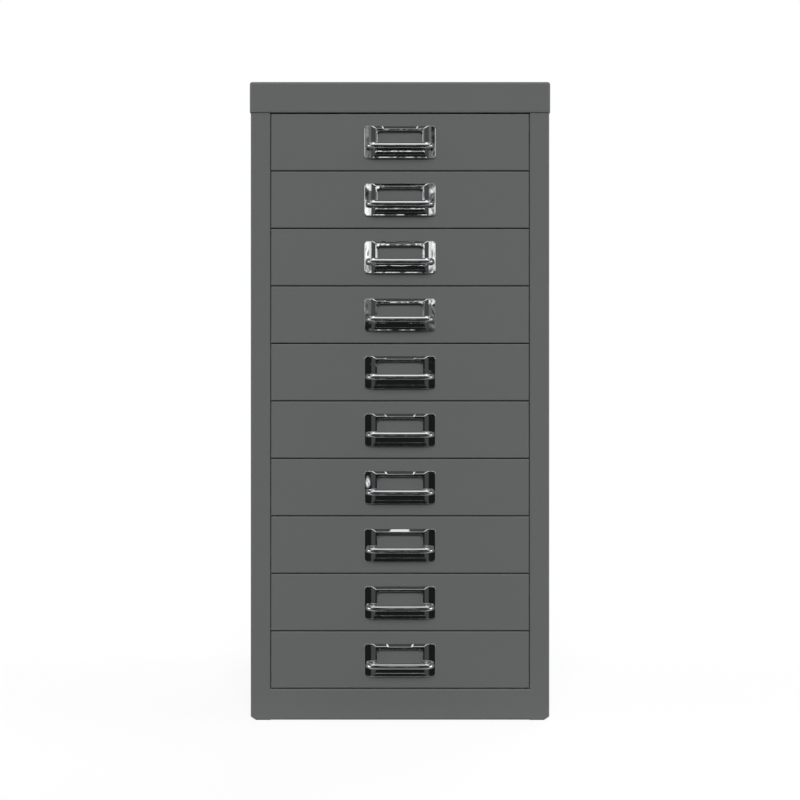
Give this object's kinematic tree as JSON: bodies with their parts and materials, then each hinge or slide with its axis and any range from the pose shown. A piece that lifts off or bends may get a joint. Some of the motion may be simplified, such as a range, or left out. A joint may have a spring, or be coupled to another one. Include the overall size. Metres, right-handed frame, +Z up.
{
  "type": "multi-drawer cabinet",
  "caption": "Narrow steel cabinet with a stack of shallow sliding drawers, each with a chromed label-holder pull",
  "frame": {"origin": "middle of the case's footprint, on the floor under the base pan", "axes": "+Z up, drawers open towards -Y, +X to the right as seen from the front"},
  "size_m": [0.278, 0.3928, 0.59],
  "materials": {
    "case_paint": "satin dark grey powder coat",
    "front_paint": "satin dark grey powder coat",
    "tray_paint": "satin dark grey powder coat",
    "runner_steel": "satin dark grey powder coat",
    "chrome": "bright chromium plate",
    "nylon": "natural nylon"
  },
  "bodies": {
    "case": {"top_cap": "case_paint", "side_panel_left": "case_paint", "side_panel_right": "case_paint", "back_panel": "case_paint", "base_pan": "case_paint", "top_rail": "case_paint", "runner_panel_left": "runner_steel", "runner_panel_right": "runner_steel", "runner_pads_left": "nylon", "runner_pads_right": "nylon"},
    "drawer_01": {"drawer_01_tray": "tray_paint", "drawer_01_front": "front_paint", "drawer_01_pull": "chrome", "drawer_01_glides": "nylon"},
    "drawer_02": {"drawer_02_tray": "tray_paint", "drawer_02_front": "front_paint", "drawer_02_pull": "chrome", "drawer_02_glides": "nylon"},
    "drawer_03": {"drawer_03_tray": "tray_paint", "drawer_03_front": "front_paint", "drawer_03_pull": "chrome", "drawer_03_glides": "nylon"},
    "drawer_04": {"drawer_04_tray": "tray_paint", "drawer_04_front": "front_paint", "drawer_04_pull": "chrome", "drawer_04_glides": "nylon"},
    "drawer_05": {"drawer_05_tray": "tray_paint", "drawer_05_front": "front_paint", "drawer_05_pull": "chrome", "drawer_05_glides": "nylon"},
    "drawer_06": {"drawer_06_tray": "tray_paint", "drawer_06_front": "front_paint", "drawer_06_pull": "chrome", "drawer_06_glides": "nylon"},
    "drawer_07": {"drawer_07_tray": "tray_paint", "drawer_07_front": "front_paint", "drawer_07_pull": "chrome", "drawer_07_glides": "nylon"},
    "drawer_08": {"drawer_08_tray": "tray_paint", "drawer_08_front": "front_paint", "drawer_08_pull": "chrome", "drawer_08_glides": "nylon"},
    "drawer_09": {"drawer_09_tray": "tray_paint", "drawer_09_front": "front_paint", "drawer_09_pull": "chrome", "drawer_09_glides": "nylon"},
    "drawer_10": {"drawer_10_tray": "tray_paint", "drawer_10_front": "front_paint", "drawer_10_pull": "chrome", "drawer_10_glides": "nylon"}
  },
  "joints": [
    {"name": "drawer_01_slide", "type": "slide", "parent": "case", "child": "drawer_01", "axis": [0, -1, 0], "range_m": [0, 0.3012]},
    {"name": "drawer_02_slide", "type": "slide", "parent": "case", "child": "drawer_02", "axis": [0, -1, 0], "range_m": [0, 0.3012]},
    {"name": "drawer_03_slide", "type": "slide", "parent": "case", "child": "drawer_03", "axis": [0, -1, 0], "range_m": [0, 0.3012]},
    {"name": "drawer_04_slide", "type": "slide", "parent": "case", "child": "drawer_04", "axis": [0, -1, 0], "range_m": [0, 0.3012]},
    {"name": "drawer_05_slide", "type": "slide", "parent": "case", "child": "drawer_05", "axis": [0, -1, 0], "range_m": [0, 0.3012]},
    {"name": "drawer_06_slide", "type": "slide", "parent": "case", "child": "drawer_06", "axis": [0, -1, 0], "range_m": [0, 0.3012]},
    {"name": "drawer_07_slide", "type": "slide", "parent": "case", "child": "drawer_07", "axis": [0, -1, 0], "range_m": [0, 0.3012]},
    {"name": "drawer_08_slide", "type": "slide", "parent": "case", "child": "drawer_08", "axis": [0, -1, 0], "range_m": [0, 0.3012]},
    {"name": "drawer_09_slide", "type": "slide", "parent": "case", "child": "drawer_09", "axis": [0, -1, 0], "range_m": [0, 0.3012]},
    {"name": "drawer_10_slide", "type": "slide", "parent": "case", "child": "drawer_10", "axis": [0, -1, 0], "range_m": [0, 0.3012]}
  ]
}
